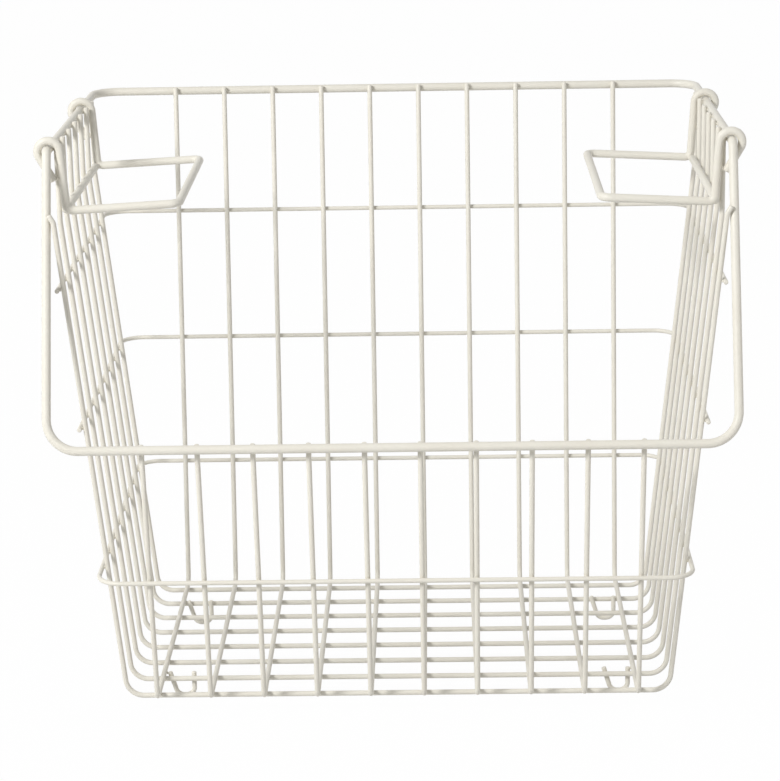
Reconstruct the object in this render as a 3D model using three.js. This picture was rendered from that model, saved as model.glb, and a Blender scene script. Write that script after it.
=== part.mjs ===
import * as THREE from 'three';

// Stacking basket welded from round steel wire, with a lowered front and two bent-wire
// brackets that swing on the side rails and carry the feet of the basket above.
// Millimetres. +X is the basket's right, +Y its back and +Z up. While the wires are laid out,
// heights start at the axis of the floor wires and depths at their theoretical front corner.

// Wire diameters
const rimWire = 5.8;
const meshWire = 3.4;
const bandWire = 3;
const footWire = 3.2;
const bracketWire = 5.4;
const crossbarWire = 5;

// Gap between the surfaces of wires that are welded or rest on each other
const weldGap = 0.3;

// Front-to-back wires, each running down the back wall, along the floor and up the front
const longWireCount = 10;
const longWirePitch = 35;
const baseDepth = 223;
const backLeanDegrees = 7.8;
const frontLeanDegrees = 9.1;
const longBackBend = 9;
const longFrontBend = 5;
const frontTipRise = 1;

// Side-to-side hoops, each running down one side wall, under the floor wires and up the other
const hoopCount = 8;
const frontHoopSetback = 13.5;
const backHoopSetback = 6.5;
const hoopSideMargin = 21.5;
const hoopBend = 12;
const hoopTipRise = 3;
const hoopUpright = 47.5;
const hoopUprightBend = 60;

// The front hoop's tips jog outwards and lie on the sloping legs, part of the way round to their fronts
const jogHeight = 5;
const jogBend = 4;
const frontTipTurnDegrees = 65;

// Rim: back bar, side rails, sloping legs and low front bar, bent from one wire
const rimHeight = 357.5;
const rimWidth = 432.6;
const frontBarHeight = 179.5;
const rimBackBend = 18;
const shoulderBend = 5;
const shoulderSetback = 4;
const frontBarBend = 20;

// Bands round the outside of the walls; the lower one is a closed ring that rises a little to the back
const upperBandDrop = 85.5;
const middleBandHeight = 180.5;
const lowerBandFrontHeight = 85.5;
const lowerBandBackHeight = 89.5;
const bandCornerBend = 16;
const bandTip = 4;

// U-shaped feet under the floor, each with a leaning left arm
const footWidth = 16.2;
const footBend = 5.5;
const footDrop = 13;
const footTipRise = 3.5;
const footLeanDegrees = 17;

// Stacking brackets, measured from the middle of the eyes that they hang by
const eyeToHoop = 6.5;
const eyeClearance = 1.5;
const eyePullDegrees = 45;
const tailDrop = 18.8;
const bracketDrop = 38;
const bracketReach = 81.2;
const bracketFootTiltDegrees = 3;
const heelInset = 1;
const heelBend = 4;
const toeBend = 6;

// Powder coat
const coatColour = 0xe6e0d2;
const coatRoughness = 0.45;
const coatMetalness = 0;

// Faceting of the round wires
const sectionSides = 8;
const bendStep = THREE.MathUtils.degToRad(15);

// Radii and slopes
const rimRadius = rimWire / 2;
const meshRadius = meshWire / 2;
const bandRadius = bandWire / 2;
const footRadius = footWire / 2;
const bracketRadius = bracketWire / 2;
const crossbarRadius = crossbarWire / 2;
const backLean = THREE.MathUtils.degToRad(backLeanDegrees);
const frontLean = THREE.MathUtils.degToRad(frontLeanDegrees);
const frontTipTurn = THREE.MathUtils.degToRad(frontTipTurnDegrees);
const footLean = THREE.MathUtils.degToRad(footLeanDegrees);
const eyePull = THREE.MathUtils.degToRad(eyePullDegrees);
const bracketFootTilt = THREE.MathUtils.degToRad(bracketFootTiltDegrees);

// Distance between the axes of two wires that touch
const meshToRim = meshRadius + rimRadius + weldGap;
const meshToBand = meshRadius + bandRadius + weldGap;
const meshToMesh = meshWire + weldGap;

// Side walls: the hoops lean out from the floor, then stand upright along the rails' inner sides
const railX = rimWidth / 2;
const outerLongX = ((longWireCount - 1) / 2) * longWirePitch;
const floorHalfWidth = outerLongX + hoopSideMargin;
const uprightX = railX - meshToRim;
const uprightZ = rimHeight - hoopUpright;
const sideLean = Math.atan((uprightX - floorHalfWidth) / uprightZ);
const hoopFloorZ = -meshToMesh;
const hoopPitch = (baseDepth - frontHoopSetback - backHoopSetback) / (hoopCount - 1);

const hoopX = (z) => floorHalfWidth + Math.tan(sideLean) * Math.min(z, uprightZ);
const hoopLean = (z) => (z > uprightZ ? 0 : sideLean);
const hoopY = (index) => frontHoopSetback + index * hoopPitch;
const backWallY = (z) => baseDepth + Math.tan(backLean) * z;
const frontWallY = (z) => -Math.tan(frontLean) * z;

// The bars lie outside the wire ends that are welded to them
const backBarY = backWallY(rimHeight) + meshToRim / Math.cos(backLean);
const frontBarY = frontWallY(frontBarHeight) - meshToRim / Math.cos(frontLean);

// Brackets hang on the rails just beyond the second hoop from the front and the second from the back.
// Their weight pulls the loose eyes inwards and down.
const secondHoop = 1;
const secondLastHoop = hoopCount - 2;
const frontEyeY = hoopY(secondHoop) - eyeToHoop;
const backEyeY = hoopY(secondLastHoop) + eyeToHoop;
const eyeSlack = eyeClearance - weldGap;
const eyeX = railX - eyeSlack * Math.sin(eyePull);
const eyeZ = rimHeight - eyeSlack * Math.cos(eyePull);
const shoulderY = frontEyeY - shoulderSetback;

const upperBandHeight = rimHeight - upperBandDrop;

const point = (x, y, z) => new THREE.Vector3(x, y, z);

// Points of an arc that starts at a point and turns about an axis through a centre
function arcPoints(start, centre, axis, turn) {
  const steps = Math.max(2, Math.ceil(turn / bendStep));
  const arm = start.clone().sub(centre);
  return Array.from({ length: steps + 1 }, (unused, step) =>
    arm.clone().applyAxisAngle(axis, (turn * step) / steps).add(centre));
}

// Points of a bend that rounds off a corner with the given radius
function bendPoints(before, corner, after, radius) {
  const back = before.clone().sub(corner).normalize();
  const ahead = after.clone().sub(corner).normalize();
  const half = back.angleTo(ahead) / 2;
  const start = corner.clone().addScaledVector(back, radius / Math.tan(half));
  const middle = back.clone().add(ahead).normalize();
  const centre = corner.clone().addScaledVector(middle, radius / Math.sin(half));
  const axis = ahead.clone().cross(back).normalize();
  return arcPoints(start, centre, axis, Math.PI - 2 * half);
}

// Axis of a wire through its corners; each entry is a point or a corner with its bend radius
function bentAxis(stops) {
  const corners = stops.map((stop) => stop.corner ?? stop);
  const count = corners.length;
  return stops.flatMap((stop, index) => {
    if (!stop.corner) return [stop];
    const before = corners[(index + count - 1) % count];
    const after = corners[(index + 1) % count];
    return bendPoints(before, stop.corner, after, stop.bend);
  });
}

const bend = (corner, radius) => ({ corner, bend: radius });

// Solid wire along an axis. The section is a polygon with the area of the round wire, with
// two of its flats facing along the side vector, and the frame turns no more than the axis.
function wireGeometry(axis, diameter, side, closed = false) {
  const count = axis.length;
  const sector = (2 * Math.PI) / sectionSides;
  const cornerRadius = (diameter / 2) * Math.sqrt(sector / Math.sin(sector));
  const runs = axis.map((here, index) =>
    axis[(index + 1) % count].clone().sub(here).normalize());
  const headings = axis.map((here, index) => {
    if (!closed && index === 0) return runs[0];
    if (!closed && index === count - 1) return runs[count - 2];
    return runs[(index + count - 1) % count].clone().add(runs[index]).normalize();
  });
  const normal = side.clone().addScaledVector(headings[0], -side.dot(headings[0])).normalize();
  const turn = new THREE.Quaternion();
  const positions = [];
  axis.forEach((here, index) => {
    if (index > 0) {
      turn.setFromUnitVectors(headings[index - 1], headings[index]);
      normal.applyQuaternion(turn);
    }
    const across = headings[index].clone().cross(normal);
    for (let corner = 0; corner < sectionSides; corner += 1) {
      const angle = (corner + 0.5) * sector;
      const rim = here.clone()
        .addScaledVector(normal, cornerRadius * Math.cos(angle))
        .addScaledVector(across, cornerRadius * Math.sin(angle));
      positions.push(rim.x, rim.y, rim.z);
    }
  });
  const faces = [];
  const segments = closed ? count : count - 1;
  for (let ring = 0; ring < segments; ring += 1) {
    const near = ring * sectionSides;
    const far = ((ring + 1) % count) * sectionSides;
    for (let corner = 0; corner < sectionSides; corner += 1) {
      const next = (corner + 1) % sectionSides;
      faces.push(near + corner, near + next, far + next);
      faces.push(near + corner, far + next, far + corner);
    }
  }
  if (!closed) {
    const last = (count - 1) * sectionSides;
    for (let corner = 1; corner < sectionSides - 1; corner += 1) {
      faces.push(0, corner + 1, corner);
      faces.push(last, last + corner, last + corner + 1);
    }
  }
  const geometry = new THREE.BufferGeometry();
  geometry.setAttribute('position', new THREE.Float32BufferAttribute(positions, 3));
  geometry.setIndex(faces);
  geometry.computeVertexNormals();
  return geometry;
}

function namedWire(name, geometry) {
  const coat = new THREE.MeshStandardMaterial({
    color: coatColour,
    roughness: coatRoughness,
    metalness: coatMetalness,
  });
  const mesh = new THREE.Mesh(geometry, coat);
  mesh.name = name;
  return mesh;
}

const numbered = (stem, index) => `${stem}_${String(index + 1).padStart(2, '0')}`;

const sideways = point(1, 0, 0);
const lengthways = point(0, 1, 0);
const upwards = point(0, 0, 1);

// One closed wire: back bar, left rail, left leg, front bar, right leg, right rail
function rimFrame() {
  const halfRim = (side) => [
    bend(point(side * railX, backBarY, rimHeight), rimBackBend),
    bend(point(side * railX, shoulderY, rimHeight), shoulderBend),
    bend(point(side * railX, frontBarY, frontBarHeight), frontBarBend),
  ];
  const axis = bentAxis([...halfRim(-1), ...halfRim(1).reverse()]);
  return namedWire('rim_frame', wireGeometry(axis, rimWire, upwards, true));
}

// Front-to-back wires; their ends stand level with the bar behind and just above the bar in front
function longWires() {
  const backTop = rimHeight + rimRadius;
  const frontTop = frontBarHeight + rimRadius + frontTipRise;
  const axis = bentAxis([
    point(0, backWallY(backTop), backTop),
    bend(point(0, baseDepth, 0), longBackBend),
    bend(point(0, 0, 0), longFrontBend),
    point(0, frontWallY(frontTop), frontTop),
  ]);
  const geometry = wireGeometry(axis, meshWire, sideways);
  return Array.from({ length: longWireCount }, (unused, index) => {
    const wire = namedWire(numbered('long_wire', index), geometry);
    wire.position.x = index * longWirePitch - outerLongX;
    return wire;
  });
}

// Hoops with their tips on the inner side of the rails
function sideHoops() {
  const tipZ = rimHeight + hoopTipRise;
  const hoopAxis = (tip) => {
    const foot = point(hoopX(hoopFloorZ), 0, hoopFloorZ);
    const half = (side) => [
      ...tip.map((stop) => mirrored(stop, side)),
      bend(point(side * foot.x, 0, foot.z), hoopBend),
    ];
    return bentAxis([...half(-1), ...half(1).reverse()]);
  };
  const plainTip = [point(uprightX, 0, tipZ), bend(point(uprightX, 0, uprightZ), hoopUprightBend)];
  const plain = wireGeometry(hoopAxis(plainTip), meshWire, lengthways);
  const front = wireGeometry(hoopAxis(frontHoopTip()), meshWire, lengthways);
  return Array.from({ length: hoopCount }, (unused, index) => {
    const hoop = namedWire(numbered('side_hoop', index), index === 0 ? front : plain);
    hoop.position.y = hoopY(index);
    return hoop;
  });
}

const mirrored = (stop, side) => (stop.corner
  ? bend(point(side * stop.corner.x, stop.corner.y, stop.corner.z), stop.bend)
  : point(side * stop.x, stop.y, stop.z));

// The front hoop's tip lies against the leg, turned from the leg's inner side towards its front
function frontHoopTip() {
  const leg = point(0, frontBarY - shoulderY, frontBarHeight - rimHeight).normalize();
  const inwards = meshToRim * Math.cos(frontTipTurn);
  const forwards = meshToRim * Math.sin(frontTipTurn);
  const legY = hoopY(0) - forwards * leg.z;
  const legZ = rimHeight + ((legY - shoulderY) * leg.z) / leg.y;
  const tip = point(railX - inwards, 0, legZ - forwards * leg.y);
  const jogZ = tip.z - jogHeight;
  return [tip, bend(point(hoopX(jogZ), 0, jogZ), jogBend)];
}

// Bands outside the walls; an open band ends just in front of the front hoop
function band(name, frontHeight, backHeight, closed) {
  const sideX = (z) => hoopX(z) + meshToBand / Math.cos(hoopLean(z));
  const backY = backWallY(backHeight) + meshToBand / Math.cos(backLean);
  const frontY = closed
    ? frontWallY(frontHeight) - meshToBand / Math.cos(frontLean)
    : hoopY(0) - bandTip;
  const half = (side) => {
    const front = point(side * sideX(frontHeight), frontY, frontHeight);
    const back = point(side * sideX(backHeight), backY, backHeight);
    return [closed ? bend(front, bandCornerBend) : front, bend(back, bandCornerBend)];
  };
  const axis = bentAxis([...half(-1), ...half(1).reverse()]);
  return namedWire(name, wireGeometry(axis, bandWire, upwards, closed));
}

// Feet welded between a hoop and the outermost floor wire, on the hoop's side that faces the middle
function feet() {
  const half = footWidth / 2;
  const leanIn = Math.tan(footLean) * (footTipRise + footDrop);
  const axis = bentAxis([
    point(-half, 0, footTipRise),
    bend(point(leanIn - half, 0, -footDrop), footBend),
    bend(point(half, 0, -footDrop), footBend),
    point(half, 0, footTipRise),
  ]);
  const geometry = wireGeometry(axis, footWire, lengthways);
  const footX = outerLongX - meshRadius - weldGap - footRadius - half;
  const hoopToFoot = meshRadius + footRadius + weldGap;
  const rows = [
    ['front', hoopY(secondHoop) + hoopToFoot],
    ['back', hoopY(secondLastHoop) - hoopToFoot],
  ];
  return rows.flatMap(([row, y]) => [['left', -1], ['right', 1]].map(([hand, side]) => {
    const foot = namedWire(`${row}_${hand}_foot`, geometry);
    foot.position.set(side * footX, y, hoopFloorZ);
    return foot;
  }));
}

// Bracket in its own frame: origin midway between its eyes, +X into the basket, +Y along the rail
function bracketParts() {
  const halfSpan = (backEyeY - frontEyeY) / 2;
  const eyeRadius = rimRadius + bracketRadius + eyeClearance;

  // The crossbar joins the two heels and rests against the hoops
  const crossbarZ = eyeZ - bracketDrop;
  const crossbarToHoop = meshRadius + crossbarRadius + weldGap;
  const crossbarX = eyeX - hoopX(crossbarZ) + crossbarToHoop / Math.cos(hoopLean(crossbarZ));
  const crossbar = point(crossbarX, 0, -bracketDrop);

  // The arm leaves the eye along a tangent and runs straight down to the heel
  const heel = crossbar.clone().setX(crossbar.x + heelInset);
  const armAngle = Math.atan2(heel.z, heel.x) + Math.acos(eyeRadius / heel.length());
  const armTop = point(Math.cos(armAngle), 0, Math.sin(armAngle)).multiplyScalar(eyeRadius);
  const armSlope = (heel.x - armTop.x) / (armTop.z - heel.z);
  const armX = (z) => armTop.x + armSlope * (armTop.z - z);

  // The tail comes round under the rail and ends beside the arm
  const tailX = armX(-tailDrop) - (bracketWire + weldGap) * Math.hypot(1, armSlope);
  const tail = point(tailX, 0, -tailDrop);
  const tailLeave = Math.atan2(tail.z, tail.x) - Math.acos(eyeRadius / tail.length());
  const wrap = tailLeave + 2 * Math.PI - armAngle;

  const toeZ = heel.z + Math.tan(bracketFootTilt) * (bracketReach - heel.x);
  const toe = point(bracketReach, 0, toeZ);
  const eyeTurn = arcPoints(armTop, point(0, 0, 0), point(0, -1, 0), wrap);

  const half = (side) => {
    const at = (stop) => stop.clone().setY(side * halfSpan);
    return [
      at(tail),
      ...eyeTurn.map(at).reverse(),
      bend(at(heel), heelBend),
      bend(at(toe), toeBend),
    ];
  };
  const axis = bentAxis([...half(-1), ...half(1).reverse()]);
  const barEnd = halfSpan - bracketRadius - weldGap;
  const barAxis = [-barEnd, barEnd].map((y) => crossbar.clone().setY(y));
  return {
    wire: wireGeometry(axis, bracketWire, lengthways),
    crossbar: wireGeometry(barAxis, crossbarWire, upwards),
  };
}

// Both brackets share one shape, turned to face into the basket from either rail
function brackets() {
  const parts = bracketParts();
  return [['left', -1, 0], ['right', 1, Math.PI]].map(([hand, side, turn]) => {
    const bracket = new THREE.Group();
    bracket.add(namedWire(`${hand}_bracket_wire`, parts.wire));
    bracket.add(namedWire(`${hand}_bracket_crossbar`, parts.crossbar));
    bracket.position.set(side * eyeX, (frontEyeY + backEyeY) / 2, eyeZ);
    bracket.rotation.z = turn;
    return bracket;
  });
}

const basket = new THREE.Group();
basket.add(rimFrame(), ...longWires(), ...sideHoops());
basket.add(band('upper_band', upperBandHeight, upperBandHeight, false));
basket.add(band('middle_band', middleBandHeight, middleBandHeight, false));
basket.add(band('lower_band', lowerBandFrontHeight, lowerBandBackHeight, true));
basket.add(...feet(), ...brackets());

// The origin is on the floor under the middle of the basket
const bounds = new THREE.Box3().setFromObject(basket, true);
const middle = bounds.getCenter(new THREE.Vector3());
basket.position.set(-middle.x, -middle.y, -bounds.min.z);

export default basket;
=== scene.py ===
import math

import bmesh
import bpy
from mathutils import Matrix, Vector


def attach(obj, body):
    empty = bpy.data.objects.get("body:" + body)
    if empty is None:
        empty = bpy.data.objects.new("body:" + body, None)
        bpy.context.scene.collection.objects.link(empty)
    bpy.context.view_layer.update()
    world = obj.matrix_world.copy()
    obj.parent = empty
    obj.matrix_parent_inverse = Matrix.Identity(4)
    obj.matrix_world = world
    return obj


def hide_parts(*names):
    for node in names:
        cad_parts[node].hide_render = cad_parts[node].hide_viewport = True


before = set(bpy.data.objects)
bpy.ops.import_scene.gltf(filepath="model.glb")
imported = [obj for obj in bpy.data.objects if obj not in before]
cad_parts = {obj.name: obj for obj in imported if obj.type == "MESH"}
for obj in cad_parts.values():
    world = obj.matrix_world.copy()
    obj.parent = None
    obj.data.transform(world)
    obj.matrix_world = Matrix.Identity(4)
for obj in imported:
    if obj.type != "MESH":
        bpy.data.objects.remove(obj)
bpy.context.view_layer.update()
print("frame loaded:", len(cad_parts), "wires")

# sizes in millimetres, heights from the axis of the floor wires, depths from their front corner
basket = {
    "zeroY": -121.484, "zeroZ": 18.2547,
    "rimWire": 5.8, "meshWire": 3.4, "bandWire": 3.0, "weldGap": 0.3,
    "baseDepth": 223.0, "backLean": 7.8, "frontLean": 9.1,
    "floorHalf": 179.0, "uprightX": 211.4, "uprightZ": 310.0,
    "longCount": 10, "longPitch": 35.0,
    "hoopCount": 8, "hoopStart": 13.5, "hoopPitch": 29.0, "hoopFloor": -3.7,
    "railX": 216.3, "rimHeight": 357.5, "frontBarHeight": 179.5,
    "secondHoop": 1, "secondLastHoop": 6, "eyeToHoop": 6.5, "shoulderSetback": 4.0,
    "bendStep": 6.0, "leastSteps": 3, "tipRound": 0.4, "tipSegments": 3, "nearlySame": 0.0001, "seamGap": 0.01,
}
backLean = math.radians(basket["backLean"])
frontLean = math.radians(basket["frontLean"])
sideLean = math.atan((basket["uprightX"] - basket["floorHalf"]) / basket["uprightZ"])
meshToRim = (basket["meshWire"] + basket["rimWire"]) / 2 + basket["weldGap"]
meshToBand = (basket["meshWire"] + basket["bandWire"]) / 2 + basket["weldGap"]


def longX(index):
    return (index - (basket["longCount"] - 1) / 2) * basket["longPitch"]


def hoopY(index):
    return basket["hoopStart"] + index * basket["hoopPitch"]


def hoopX(z):
    return basket["floorHalf"] + math.tan(sideLean) * min(z, basket["uprightZ"])


def backWallY(z):
    return basket["baseDepth"] + math.tan(backLean) * z


def frontWallY(z):
    return -math.tan(frontLean) * z


backBarY = backWallY(basket["rimHeight"]) + meshToRim / math.cos(backLean)
frontBarY = frontWallY(basket["frontBarHeight"]) - meshToRim / math.cos(frontLean)
frontEyeY = hoopY(basket["secondHoop"]) - basket["eyeToHoop"]
backEyeY = hoopY(basket["secondLastHoop"]) + basket["eyeToHoop"]
shoulderY = frontEyeY - basket["shoulderSetback"]


# a wire is fed out of its first end and bent corner by corner, as on a wire bender
class WireBender:
    def __init__(self, diameter, start, towards, sides=16, closed=False):
        self.bm = bmesh.new()
        self.radius = diameter / 2
        self.start = start.copy()
        self.tip = start.copy()
        self.heading = (towards - start).normalized()
        self.closed = closed
        aim = Matrix.Translation(start) @ self.heading.to_track_quat("Z", "Y").to_matrix().to_4x4()
        bmesh.ops.create_circle(self.bm, cap_ends=not closed, segments=sides, radius=self.radius, matrix=aim)
        self.ring = list(self.bm.edges)
        self.firstRing = list(self.ring)

    def feedTo(self, place):
        if (place - self.tip).length < basket["nearlySame"]:
            return
        grown = bmesh.ops.extrude_edge_only(self.bm, edges=self.ring)["geom"]
        fresh = {item for item in grown if isinstance(item, bmesh.types.BMVert)}
        bmesh.ops.translate(self.bm, verts=list(fresh), vec=place - self.tip)
        self.ring = [item for item in grown
                     if isinstance(item, bmesh.types.BMEdge) and fresh.issuperset(item.verts)]
        self.tip = place.copy()

    def turn(self, centre, axis, angle):
        steps = max(basket["leastSteps"], math.ceil(math.degrees(angle) / basket["bendStep"]))
        ends = {vert for edge in self.ring for vert in edge.verts}
        spun = bmesh.ops.spin(self.bm, geom=self.ring + list(ends), cent=centre, axis=axis,
                              angle=angle, steps=steps, use_duplicate=False)
        self.ring = [item for item in spun["geom_last"] if isinstance(item, bmesh.types.BMEdge)]
        swing = Matrix.Rotation(angle, 3, axis)
        self.tip = centre + swing @ (self.tip - centre)
        self.heading = swing @ self.heading

    def bend(self, corner, after, radius):
        out = (after - corner).normalized()
        angle = self.heading.angle(out)
        axis = self.heading.cross(out).normalized()
        self.feedTo(corner - self.heading * (radius * math.tan(angle / 2)))
        self.turn(self.tip + axis.cross(self.heading) * radius, axis, angle)

    # corners are (place, radius) pairs, then the wire runs straight to its end
    def follow(self, corners, end):
        places = [place for place, radius in corners] + [end]
        for (corner, radius), after in zip(corners, places[1:]):
            self.bend(corner, after, radius)
        self.feedTo(end)
        return self

    def cut(self):
        if self.closed:
            bmesh.ops.remove_doubles(self.bm, verts=self.bm.verts, dist=basket["seamGap"])
        else:
            bmesh.ops.contextual_create(self.bm, geom=self.ring)
            bmesh.ops.bevel(self.bm, geom=self.firstRing + self.ring, offset=self.radius * basket["tipRound"],
                            offset_type="OFFSET", segments=basket["tipSegments"], profile=0.5,
                            affect="EDGES", material=-1)
        bmesh.ops.recalc_face_normals(self.bm, faces=self.bm.faces)
        return self.bm


toRow = Matrix.Scale(0.001, 4) @ Matrix.Translation((0, basket["zeroY"], basket["zeroZ"]))


# the mesh goes from millimetres to its place in the row, and rides on its body
def makePiece(name, bm, body, material, node=None, place=Matrix()):
    bmesh.ops.transform(bm, matrix=toRow @ place, verts=bm.verts)
    for face in bm.faces:
        face.smooth = True
    mesh = bpy.data.meshes.new(name)
    bm.to_mesh(mesh)
    bm.free()
    piece = bpy.data.objects.new(name, mesh)
    bpy.context.scene.collection.objects.link(piece)
    mesh.materials.append(material)
    if node:
        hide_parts(node)
    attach(piece, body)
    return piece


# a shader socket that takes part in sums, and one method for any other node
class Flow:
    def __init__(self, tree, socket=None):
        self.tree = tree
        self.socket = socket

    def add(self, kind, settings=None, inputs=None, out=0):
        node = self.tree.nodes.new(kind)
        for key, value in (settings or {}).items():
            if key == "stops":
                for stop, (at, shade) in zip(node.color_ramp.elements, value):
                    stop.position = at
                    stop.color = (shade, shade, shade, 1)
            else:
                setattr(node, key, value)
        for key, value in (inputs or {}).items():
            if isinstance(value, Flow):
                self.tree.links.new(value.socket, node.inputs[key])
            else:
                node.inputs[key].default_value = value
        return Flow(self.tree, node.outputs[out] if node.outputs else None)

    def maths(self, operation, first, second):
        return self.add("ShaderNodeMath", {"operation": operation}, {0: first, 1: second})

    def __add__(self, other):
        return self.maths("ADD", self, other)

    def __sub__(self, other):
        return self.maths("SUBTRACT", self, other)

    def __rsub__(self, other):
        return self.maths("SUBTRACT", other, self)

    def __mul__(self, other):
        return self.maths("MULTIPLY", self, other)

    __radd__ = __add__
    __rmul__ = __mul__


def newTree(block):
    block.use_nodes = True
    block.node_tree.nodes.clear()
    return Flow(block.node_tree)


# powder coat: faint warm clouds, orange peel and fine grit
powderCoat = {
    "cream": (0.775, 0.75, 0.672, 1), "warm": (0.74, 0.702, 0.616, 1), "cloudShare": 0.6, "peelTint": 0.3,
    "roughness": 0.42, "roughnessSpread": 0.12, "specular": 0.3,
    "cloudScale": 24.0, "cloudDetail": 4.0, "cloudRoughness": 0.6, "cloudStops": ((0.35, 0.0), (0.7, 1.0)),
    "peelScale": 620.0, "peelDetail": 2.0, "peelDepth": 0.000025,
    "gritScale": 2600.0, "gritDetail": 1.0, "gritShare": 0.35,
}


def coatMaterial(name, settings):
    material = bpy.data.materials.new(name)
    tree = newTree(material)
    place = tree.add("ShaderNodeTexCoord", out="Object")
    cloud = tree.add("ShaderNodeTexNoise", inputs={
        "Vector": place, "Scale": settings["cloudScale"],
        "Detail": settings["cloudDetail"], "Roughness": settings["cloudRoughness"]})
    peel = tree.add("ShaderNodeTexNoise", inputs={
        "Vector": place, "Scale": settings["peelScale"], "Detail": settings["peelDetail"]})
    grit = tree.add("ShaderNodeTexNoise", inputs={
        "Vector": place, "Scale": settings["gritScale"], "Detail": settings["gritDetail"]})
    patches = tree.add("ShaderNodeValToRGB", {"stops": settings["cloudStops"]}, {"Fac": cloud})
    tint = patches * settings["cloudShare"] + peel * settings["peelTint"]
    colour = tree.add("ShaderNodeMix", {"data_type": "RGBA"},
                      {0: tint, 6: settings["cream"], 7: settings["warm"]}, out=2)
    bump = tree.add("ShaderNodeBump", inputs={
        "Strength": 1.0, "Distance": settings["peelDepth"], "Height": peel + grit * settings["gritShare"]})
    shader = tree.add("ShaderNodeBsdfPrincipled", inputs={
        "Base Color": colour, "Normal": bump, "Metallic": 0.0, "Specular IOR Level": settings["specular"],
        "Roughness": settings["roughness"] + settings["roughnessSpread"] * (cloud - 0.5)})
    tree.add("ShaderNodeOutputMaterial", inputs={"Surface": shader})
    return material


coat = coatMaterial("powder_coat", powderCoat)
print("powder coat mixed")

# rim: back bar, rails, sloping legs and low front bar, closed in the middle of the back bar
rim = {"backBend": 18.0, "shoulderBend": 5.0, "frontBend": 20.0, "sides": 20}


def bendRim():
    railX, top, low = basket["railX"], basket["rimHeight"], basket["frontBarHeight"]
    half = [(Vector((-railX, backBarY, top)), rim["backBend"]),
            (Vector((-railX, shoulderY, top)), rim["shoulderBend"]),
            (Vector((-railX, frontBarY, low)), rim["frontBend"])]
    other = [(Vector((railX, place.y, place.z)), radius) for place, radius in reversed(half)]
    middle = Vector((0, backBarY, top))
    wire = WireBender(basket["rimWire"], middle, half[0][0], rim["sides"], closed=True)
    return wire.follow(half + other, middle).cut()


makePiece("bent_rim", bendRim(), "basket", coat, "rim_frame")
print("rim bent")

# front-to-back wires: back wall, floor and low front wall
longWire = {"backBend": 9.0, "frontBend": 5.0, "backTip": 360.4, "frontTip": 181.6}


def bendLongWire(index):
    x = longX(index)
    backTip = Vector((x, backWallY(longWire["backTip"]), longWire["backTip"]))
    frontTip = Vector((x, frontWallY(longWire["frontTip"]), longWire["frontTip"]))
    backCorner = Vector((x, basket["baseDepth"], 0))
    wire = WireBender(basket["meshWire"], backTip, backCorner)
    return wire.follow([(backCorner, longWire["backBend"]), (Vector((x, 0, 0)), longWire["frontBend"])],
                       frontTip).cut()


for index in range(basket["longCount"]):
    node = "long_wire_%02d" % (index + 1)
    makePiece("bent_" + node, bendLongWire(index), "basket", coat, node)
print("front-to-back wires bent")

# side-to-side hoops; the front one has tips that jog out onto the sloping legs
hoop = {"bend": 12.0, "uprightBend": 60.0, "tip": 360.5, "jogHeight": 5.0, "jogBend": 4.0, "tipTurn": 65.0}
legRun = Vector((0, frontBarY - shoulderY, basket["frontBarHeight"] - basket["rimHeight"])).normalized()
tipTurn = math.radians(hoop["tipTurn"])
tipAway = Vector((-math.cos(tipTurn), math.sin(tipTurn) * legRun.z, -math.sin(tipTurn) * legRun.y))
legTipY = hoopY(0) - meshToRim * tipAway.y
legTip = Vector((basket["railX"], legTipY, basket["rimHeight"] + (legTipY - shoulderY) * legRun.z / legRun.y))
jogTip = legTip + tipAway * meshToRim


def bendHoop(index):
    y, floor = hoopY(index), basket["hoopFloor"]
    if index:
        tip = Vector((basket["uprightX"], y, hoop["tip"]))
        knee = (Vector((basket["uprightX"], y, basket["uprightZ"])), hoop["uprightBend"])
    else:
        tip = jogTip
        jog = tip.z - hoop["jogHeight"]
        knee = (Vector((hoopX(jog), y, jog)), hoop["jogBend"])
    half = [knee, (Vector((hoopX(floor), y, floor)), hoop["bend"])]
    other = [(Vector((-place.x, place.y, place.z)), radius) for place, radius in reversed(half)]
    wire = WireBender(basket["meshWire"], tip, knee[0])
    return wire.follow(half + other, Vector((-tip.x, tip.y, tip.z))).cut()


for index in range(basket["hoopCount"]):
    node = "side_hoop_%02d" % (index + 1)
    makePiece("bent_" + node, bendHoop(index), "basket", coat, node)
print("hoops bent")

# bands outside the walls; the lower one is a closed ring that rises a little to the back
bands = {
    "upper_band": {"front": 272.0, "back": 272.0, "closed": False},
    "middle_band": {"front": 180.5, "back": 180.5, "closed": False},
    "lower_band": {"front": 85.5, "back": 89.5, "closed": True},
}
bandBend = {"corner": 16.0, "tip": 4.0}


def bandPlan(band):
    sideX = [hoopX(band[end]) + meshToBand / math.cos(sideLean) for end in ("front", "back")]
    backY = backWallY(band["back"]) + meshToBand / math.cos(backLean)
    frontY = hoopY(0) - bandBend["tip"]
    if band["closed"]:
        frontY = frontWallY(band["front"]) - meshToBand / math.cos(frontLean)
    return Vector((sideX[0], frontY, band["front"])), Vector((sideX[1], backY, band["back"]))


def bendBand(band):
    front, back = bandPlan(band)
    corner = bandBend["corner"]
    left = [(Vector((-place.x, place.y, place.z)), corner) for place in (front, back)]
    right = [(back, corner), (front, corner)]
    if band["closed"]:
        middle = Vector((0, front.y, front.z))
        wire = WireBender(basket["bandWire"], middle, left[0][0], closed=True)
        return wire.follow(left + right, middle).cut()
    wire = WireBender(basket["bandWire"], left[0][0], left[1][0])
    return wire.follow([left[1], right[0]], front).cut()


for node, band in bands.items():
    makePiece("bent_" + node, bendBand(band), "basket", coat, node)
print("bands bent")

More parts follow.
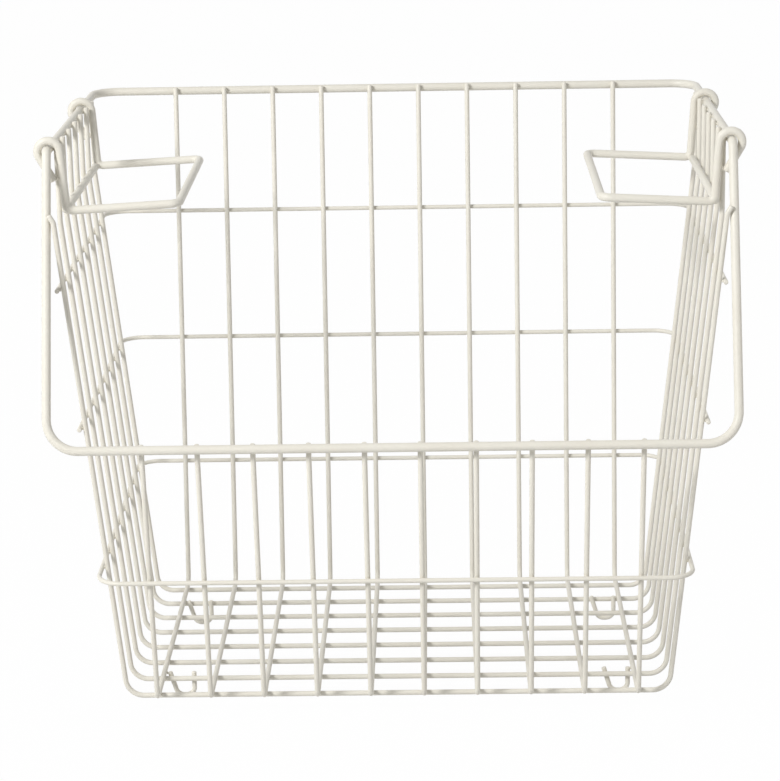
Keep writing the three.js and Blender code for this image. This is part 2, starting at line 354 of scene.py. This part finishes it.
# feet: small U-shaped wires, each with a leaning left arm
foot = {"wire": 3.2, "width": 16.2, "bend": 5.5, "drop": 13.0, "tipRise": 3.5, "lean": 17.0}
footAway = (basket["meshWire"] + foot["wire"]) / 2 + basket["weldGap"]
footX = longX(basket["longCount"] - 1) - footAway - foot["width"] / 2
footRows = {"front": (basket["secondHoop"], 1), "back": (basket["secondLastHoop"], -1)}
footSides = {"left": -1, "right": 1}


def footPlace(row, side):
    index, inward = footRows[row]
    return Vector((footSides[side] * footX, hoopY(index) + inward * footAway, basket["hoopFloor"]))


def bendFoot(place):
    half, rise, drop = foot["width"] / 2, foot["tipRise"], foot["drop"]
    leanIn = math.tan(math.radians(foot["lean"])) * (rise + drop)
    leftTip, leftSole = Vector((-half, 0, rise)), Vector((leanIn - half, 0, -drop))
    rightSole, rightTip = Vector((half, 0, -drop)), Vector((half, 0, rise))
    wire = WireBender(foot["wire"], place + leftTip, place + leftSole)
    return wire.follow([(place + leftSole, foot["bend"]), (place + rightSole, foot["bend"])],
                       place + rightTip).cut()


for row in footRows:
    for side in footSides:
        node = "%s_%s_foot" % (row, side)
        makePiece("bent_" + node, bendFoot(footPlace(row, side)), "basket", coat, node)
print("feet bent")

# stacking brackets in their own frame: origin midway between the eyes, x into the basket
bracket = {
    "wire": 5.4, "crossbarWire": 5.0, "sides": 20, "eyeClearance": 1.5, "eyePull": 45.0, "tailDrop": 18.8,
    "drop": 38.0, "reach": 81.2, "footTilt": 3.0, "heelInset": 1.0, "heelBend": 4.0, "toeBend": 6.0,
}
eyeSlack = bracket["eyeClearance"] - basket["weldGap"]
eyeX = basket["railX"] - eyeSlack * math.sin(math.radians(bracket["eyePull"]))
eyeZ = basket["rimHeight"] - eyeSlack * math.cos(math.radians(bracket["eyePull"]))
halfSpan = (backEyeY - frontEyeY) / 2
eyeRadius = (basket["rimWire"] + bracket["wire"]) / 2 + bracket["eyeClearance"]
crossbarX = (eyeX - hoopX(eyeZ - bracket["drop"])
             + (basket["meshWire"] + bracket["crossbarWire"]) / 2 + basket["weldGap"])
heel = Vector((crossbarX + bracket["heelInset"], -bracket["drop"]))
armAngle = math.atan2(heel.y, heel.x) + math.acos(eyeRadius / heel.length)
armTop = Vector((math.cos(armAngle), math.sin(armAngle))) * eyeRadius
armSlope = (heel.x - armTop.x) / (armTop.y - heel.y)


def armX(z):
    return armTop.x + armSlope * (armTop.y - z)


tail = Vector((armX(-bracket["tailDrop"]) - (bracket["wire"] + basket["weldGap"]) * math.hypot(1, armSlope),
               -bracket["tailDrop"]))
tailAngle = math.atan2(tail.y, tail.x) - math.acos(eyeRadius / tail.length)
tailTop = Vector((math.cos(tailAngle), math.sin(tailAngle))) * eyeRadius
eyeWrap = tailAngle + 2 * math.pi - armAngle
toeRise = math.tan(math.radians(bracket["footTilt"])) * (bracket["reach"] - heel.x)
toe = Vector((bracket["reach"], heel.y + toeRise))


def inBracket(flat, end):
    return Vector((flat.x, end * halfSpan, flat.y))


def bendBracket():
    wire = WireBender(bracket["wire"], inBracket(tail, -1), inBracket(tailTop, -1), bracket["sides"])
    wire.feedTo(inBracket(tailTop, -1))
    wire.turn(Vector((0, -halfSpan, 0)), Vector((0, 1, 0)), eyeWrap)
    loop = [(inBracket(heel, -1), bracket["heelBend"]), (inBracket(toe, -1), bracket["toeBend"]),
            (inBracket(toe, 1), bracket["toeBend"]), (inBracket(heel, 1), bracket["heelBend"])]
    wire.follow(loop, inBracket(armTop, 1))
    wire.turn(Vector((0, halfSpan, 0)), Vector((0, -1, 0)), eyeWrap)
    wire.feedTo(inBracket(tail, 1))
    return wire.cut()


barEnd = halfSpan - bracket["wire"] / 2 - basket["weldGap"]


def cutCrossbar():
    start, end = (Vector((crossbarX, y, -bracket["drop"])) for y in (-barEnd, barEnd))
    return WireBender(bracket["crossbarWire"], start, end, bracket["sides"]).follow([], end).cut()


bracketPlace = {}
for hand, side, spin in (("left", -1, 0), ("right", 1, math.pi)):
    place = Matrix.Translation((side * eyeX, (frontEyeY + backEyeY) / 2, eyeZ)) @ Matrix.Rotation(spin, 4, "Z")
    bracketPlace[hand] = place
    body = hand + "_bracket"
    makePiece("bent_%s_wire" % body, bendBracket(), body, coat, body + "_wire", place)
    makePiece("cut_%s_crossbar" % body, cutCrossbar(), body, coat, body + "_crossbar", place)
print("brackets bent")

# weld nuggets: flattened beads in the gaps between crossing wires
weld = {
    "spread": 1.15, "depth": 0.5, "barSpread": 1.3, "endSpread": 2.5, "endDepth": 0.8, "rings": 5, "sides": 8,
    "legDrop": 1.2, "footHeight": -1.0, "tailRise": 2.0, "tailStretch": 1.5,
}


def addNugget(bm, place, through, spread, depth, stretch=1.0):
    aim = through.to_track_quat("Z", "Y").to_matrix().to_4x4()
    size = Matrix.Diagonal((spread, spread * stretch, depth, 1))
    bmesh.ops.create_uvsphere(bm, u_segments=weld["sides"], v_segments=weld["rings"], radius=1,
                              matrix=Matrix.Translation(place) @ aim @ size)


def basketNuggets():
    bm = bmesh.new()
    mesh, half, gap = basket["meshWire"] / 2, basket["bandWire"] / 2, basket["weldGap"] / 2
    bar = basket["rimWire"] / 2 + gap
    spread, depth, wide = weld["spread"], weld["depth"], weld["barSpread"]
    down = Vector((0, 0, -1))
    backOut = Vector((0, math.cos(backLean), -math.sin(backLean)))
    frontOut = Vector((0, -math.cos(frontLean), -math.sin(frontLean)))
    backBar = Vector((0, backBarY, basket["rimHeight"]))
    frontBar = Vector((0, frontBarY, basket["frontBarHeight"]))
    for long in range(basket["longCount"]):
        across = Vector((longX(long), 0, 0))
        for index in range(basket["hoopCount"]):
            addNugget(bm, across + Vector((0, hoopY(index), -mesh - gap)), down, spread, depth)
        addNugget(bm, across + backBar - backOut * bar, backOut, wide, depth)
        addNugget(bm, across + frontBar - frontOut * bar, frontOut, wide, depth)
        for band in bands.values():
            front, back = bandPlan(band)
            onBack = across + Vector((0, back.y, back.z)) - backOut * (half + gap)
            addNugget(bm, onBack, backOut, spread, depth)
            if band["closed"]:
                onFront = across + Vector((0, front.y, front.z)) - frontOut * (half + gap)
                addNugget(bm, onFront, frontOut, spread, depth)
    for side in (-1, 1):
        sideOut = Vector((side * math.cos(sideLean), 0, -math.sin(sideLean)))
        for index in range(basket["hoopCount"]):
            for band in bands.values():
                front, back = bandPlan(band)
                along = front.lerp(back, (hoopY(index) - front.y) / (back.y - front.y))
                along.x *= side
                addNugget(bm, along - sideOut * (half + gap), sideOut, spread, depth)
            if index:
                addNugget(bm, Vector((side * (basket["railX"] - bar), hoopY(index), basket["rimHeight"])),
                          Vector((side, 0, 0)), wide, depth)
        onLeg = jogTip - tipAway * (mesh + gap) - Vector((0, 0, weld["legDrop"]))
        fromLeg = Vector((side * tipAway.x, tipAway.y, tipAway.z))
        addNugget(bm, Vector((side * onLeg.x, onLeg.y, onLeg.z)), fromLeg, wide, depth)
    armLean = foot["tipRise"] * math.tan(math.radians(foot["lean"]))
    outerX = longX(basket["longCount"] - 1) - mesh - gap
    for row, (index, inward) in footRows.items():
        for side, sign in footSides.items():
            place = footPlace(row, side)
            hoopSide = place.y - inward * (foot["wire"] / 2 + gap)
            for armAt in (armLean - foot["width"] / 2, foot["width"] / 2):
                onHoop = Vector((place.x + armAt, hoopSide, place.z))
                addNugget(bm, onHoop, Vector((0, inward, 0)), spread, depth)
            beside = Vector((sign * outerX, place.y, weld["footHeight"]))
            addNugget(bm, beside, Vector((sign, 0, 0)), spread, depth)
    bmesh.ops.recalc_face_normals(bm, faces=bm.faces)
    return bm


def bracketNuggets():
    bm = bmesh.new()
    gap = basket["weldGap"] / 2
    across = Vector((1, 0, armSlope)).normalized()
    along = Vector((-armSlope, 0, 1)) * weld["tailRise"]
    for end in (-1, 1):
        seat = Vector((crossbarX + bracket["heelInset"] / 2, end * (barEnd + gap), -bracket["drop"]))
        addNugget(bm, seat, Vector((0, end, 0)), weld["endSpread"], weld["endDepth"])
        beside = inBracket(tail, end) + across * (bracket["wire"] / 2 + gap) + along
        addNugget(bm, beside, across, weld["barSpread"], weld["endDepth"], weld["tailStretch"])
    bmesh.ops.recalc_face_normals(bm, faces=bm.faces)
    return bm


makePiece("basket_welds", basketNuggets(), "basket", coat)
for hand, place in bracketPlace.items():
    makePiece(hand + "_bracket_welds", bracketNuggets(), hand + "_bracket", coat, place=place)
print("welds set")

# studio: pale floor, a soft key light on the front left, a weak fill on the right,
# and a room that is bright behind the basket and dark in front of it
studio = {
    "floorSize": 14.0, "floorDrop": 0.0001, "floorColour": (0.75, 0.75, 0.75, 1), "floorGlow": 0.985,
    "frontWall": 0.06, "backWall": 0.8, "ceiling": 0.44, "lampAim": (0, 0, 0.2),
    "lamps": {
        "key_light": {"from": (-0.57, -0.62, 0.54), "distance": 3.0, "width": 0.75, "watts": 68.0},
        "fill_light": {"from": (0.86, -0.45, 0.25), "distance": 1.0, "width": 0.7, "watts": 1.15},
    },
}


# the ground and the room look white from the camera and in reflections, whatever their light
def seenDirectly(tree):
    rays = ("Is Camera Ray", "Is Glossy Ray", "Is Transmission Ray")
    direct, mirrored, through = (tree.add("ShaderNodeLightPath", out=ray) for ray in rays)
    return tree.maths("MINIMUM", direct + mirrored + through, 1.0)


def layFloor():
    bm = bmesh.new()
    bmesh.ops.create_grid(bm, x_segments=1, y_segments=1, size=studio["floorSize"],
                          matrix=Matrix.Translation((0, 0, -studio["floorDrop"])))
    mesh = bpy.data.meshes.new("studio_floor")
    bm.to_mesh(mesh)
    bm.free()
    floor = bpy.data.objects.new("studio_floor", mesh)
    bpy.context.scene.collection.objects.link(floor)
    material = bpy.data.materials.new("pale_floor")
    tree = newTree(material)
    matte = tree.add("ShaderNodeBsdfDiffuse", inputs={"Color": studio["floorColour"]})
    glow = tree.add("ShaderNodeEmission", inputs={"Color": (1, 1, 1, 1), "Strength": 1.0})
    seen = seenDirectly(tree)
    mixed = tree.add("ShaderNodeMixShader", inputs={0: seen * studio["floorGlow"], 1: matte, 2: glow})
    tree.add("ShaderNodeOutputMaterial", inputs={"Surface": mixed})
    mesh.materials.append(material)


def lightRoom():
    world = bpy.data.worlds.new("studio_room")
    bpy.context.scene.world = world
    tree = newTree(world)
    way = tree.add("ShaderNodeTexCoord", out="Generated")
    depth = tree.add("ShaderNodeSeparateXYZ", inputs={"Vector": way}, out="Y")
    height = tree.add("ShaderNodeSeparateXYZ", inputs={"Vector": way}, out="Z")
    low, high = studio["frontWall"], studio["backWall"]
    walls = (low + high) / 2 + depth * ((high - low) / 2)
    upward = tree.maths("MAXIMUM", height, 0.0)
    shade = walls * (1.0 - upward) + studio["ceiling"] * upward
    room = tree.add("ShaderNodeBackground", inputs={"Color": (1, 1, 1, 1), "Strength": shade})
    white = tree.add("ShaderNodeBackground", inputs={"Color": (1, 1, 1, 1), "Strength": 1.0})
    mixed = tree.add("ShaderNodeMixShader", inputs={0: seenDirectly(tree), 1: room, 2: white})
    tree.add("ShaderNodeOutputWorld", inputs={"Surface": mixed})
    for name, settings in studio["lamps"].items():
        lamp = bpy.data.lights.new(name, "AREA")
        lamp.shape = "DISK"
        lamp.size = settings["width"]
        lamp.energy = settings["watts"]
        stand = bpy.data.objects.new(name, lamp)
        facing = Vector(settings["from"]).normalized()
        spot = Vector(studio["lampAim"]) + facing * settings["distance"]
        stand.matrix_world = Matrix.Translation(spot) @ facing.to_track_quat("Z", "Y").to_matrix().to_4x4()
        bpy.context.scene.collection.objects.link(stand)


layFloor()
lightRoom()
bpy.context.scene.view_settings.view_transform = "Standard"
print("studio lit")

# camera solved from the photograph, with its focal length in pixels of a frame of this width
camera = {"at": (0.029614, -1.673544, 0.654682), "yaw": 1.14317, "pitch": 15.46011, "roll": -1.04521,
          "focal": 2543.061, "frame": 781.0, "sensor": 36.0}
lens = bpy.data.cameras.new("photo_camera")
lens.sensor_width = camera["sensor"]
lens.lens = camera["focal"] / camera["frame"] * camera["sensor"]
viewer = bpy.data.objects.new("photo_camera", lens)
viewer.matrix_world = (Matrix.Translation(camera["at"])
                       @ Matrix.Rotation(math.radians(camera["yaw"]), 4, "Z")
                       @ Matrix.Rotation(math.radians(90 - camera["pitch"]), 4, "X")
                       @ Matrix.Rotation(math.radians(camera["roll"]), 4, "Z"))
bpy.context.scene.collection.objects.link(viewer)
bpy.context.scene.camera = viewer
